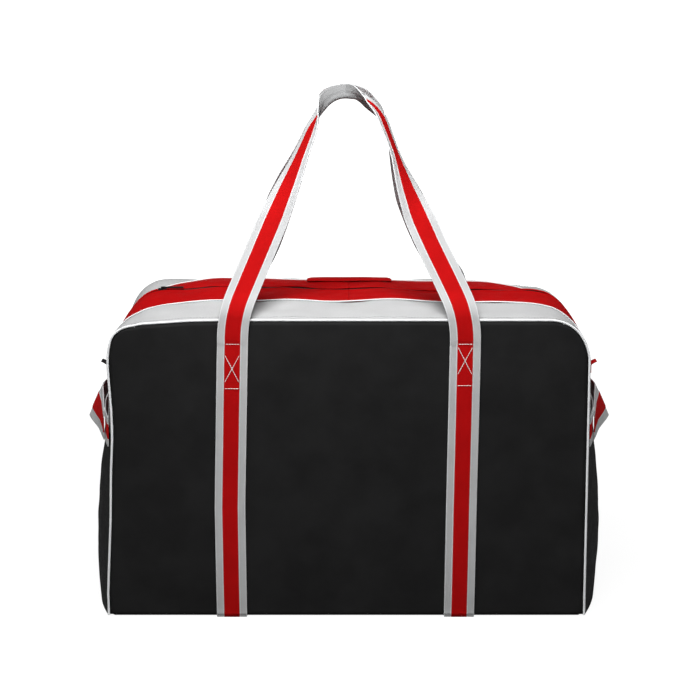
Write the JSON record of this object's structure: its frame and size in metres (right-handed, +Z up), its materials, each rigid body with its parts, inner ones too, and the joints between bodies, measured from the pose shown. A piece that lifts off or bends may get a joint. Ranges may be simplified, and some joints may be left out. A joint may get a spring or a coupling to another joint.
{
  "type": "hockey equipment bag",
  "caption": "Soft rectangular equipment bag with a zipped top that opens in two flaps, long webbing carry handles over it and a webbing grab loop on each end.",
  "frame": {"origin": "centre of the footprint, on the floor under the bag", "axes": "+X along the bag's length to the right, +Z up, front face towards -Y"},
  "size_m": [0.886, 0.4156, 0.8654],
  "materials": {
    "black_fabric": "matte coated woven",
    "white_piping": "satin",
    "grey_fabric": "coated woven",
    "red_fabric": "coated woven",
    "grey_webbing": "woven webbing",
    "red_stripe": "woven webbing",
    "zip_tape": "matte",
    "zip_metal": "black enamel",
    "board": "matte"
  },
  "bodies": {
    "bag_body": {"front_panel": "black_fabric", "rear_panel": "black_fabric", "base_panel": "black_fabric", "base_board": "board", "left_end_panel": "black_fabric", "right_end_panel": "black_fabric", "front_piping": "white_piping", "rear_piping": "white_piping", "front_grey_band": "grey_fabric", "rear_grey_band": "grey_fabric", "left_red_gusset": "red_fabric", "right_red_gusset": "red_fabric", "left_zip_end": "zip_tape", "right_zip_end": "zip_tape", "left_zip_tab": "zip_tape", "right_zip_tab": "red_fabric", "front_left_strap": "grey_webbing", "front_right_strap": "grey_webbing", "rear_left_strap": "grey_webbing", "rear_right_strap": "grey_webbing", "left_under_strap": "grey_webbing", "right_under_strap": "grey_webbing", "front_left_stripe": "red_stripe", "front_right_stripe": "red_stripe", "rear_left_stripe": "red_stripe", "rear_right_stripe": "red_stripe", "left_end_webbing": "grey_webbing", "right_end_webbing": "grey_webbing", "left_front_foot": "grey_webbing", "left_rear_foot": "grey_webbing", "right_front_foot": "grey_webbing", "right_rear_foot": "grey_webbing"},
    "front_flap": {"front_red_flap": "red_fabric", "front_zip_half": "zip_tape"},
    "rear_flap": {"rear_red_flap": "red_fabric", "rear_zip_half": "zip_tape", "rear_pull_tab": "red_fabric"},
    "front_handle": {"front_handle_webbing": "grey_webbing", "front_handle_stripe": "red_stripe"},
    "rear_handle": {"rear_handle_webbing": "grey_webbing", "rear_handle_stripe": "red_stripe"},
    "left_loop": {"left_handle_loop": "grey_webbing", "left_loop_stripe": "red_stripe"},
    "right_loop": {"right_handle_loop": "grey_webbing", "right_loop_stripe": "red_stripe"},
    "slider": {"zip_slider": "zip_metal"},
    "puller": {"zip_puller": "zip_metal"}
  },
  "joints": [
    {"name": "front_flap_fold", "type": "hinge", "parent": "bag_body", "child": "front_flap", "pos_m": [0, -0.1118, 0.51626], "axis": [1, 0, 0], "range_deg": [0, 95]},
    {"name": "rear_flap_fold", "type": "hinge", "parent": "bag_body", "child": "rear_flap", "pos_m": [0, 0.1118, 0.51626], "axis": [-1, 0, 0], "range_deg": [0, 95]},
    {"name": "front_handle_swing", "type": "hinge", "parent": "bag_body", "child": "front_handle", "pos_m": [0, -0.20302, 0.465], "axis": [1, 0, 0], "range_deg": [0, 165]},
    {"name": "rear_handle_swing", "type": "hinge", "parent": "bag_body", "child": "rear_handle", "pos_m": [0, 0.20302, 0.465], "axis": [-1, 0, 0], "range_deg": [0, 165]},
    {"name": "left_loop_swing", "type": "hinge", "parent": "bag_body", "child": "left_loop", "pos_m": [-0.41622, 0, 0.354], "axis": [0, 1, 0], "range_deg": [-8, 75]},
    {"name": "right_loop_swing", "type": "hinge", "parent": "bag_body", "child": "right_loop", "pos_m": [0.41622, 0, 0.354], "axis": [0, -1, 0], "range_deg": [-8, 75]},
    {"name": "zip_slide", "type": "slide", "parent": "bag_body", "child": "slider", "axis": [1, 0, 0], "range_m": [0, 0.636]},
    {"name": "puller_turn", "type": "hinge", "parent": "slider", "child": "puller", "pos_m": [-0.318, 0, 0.52092], "axis": [0, -1, 0], "range_deg": [0, 170]}
  ]
}
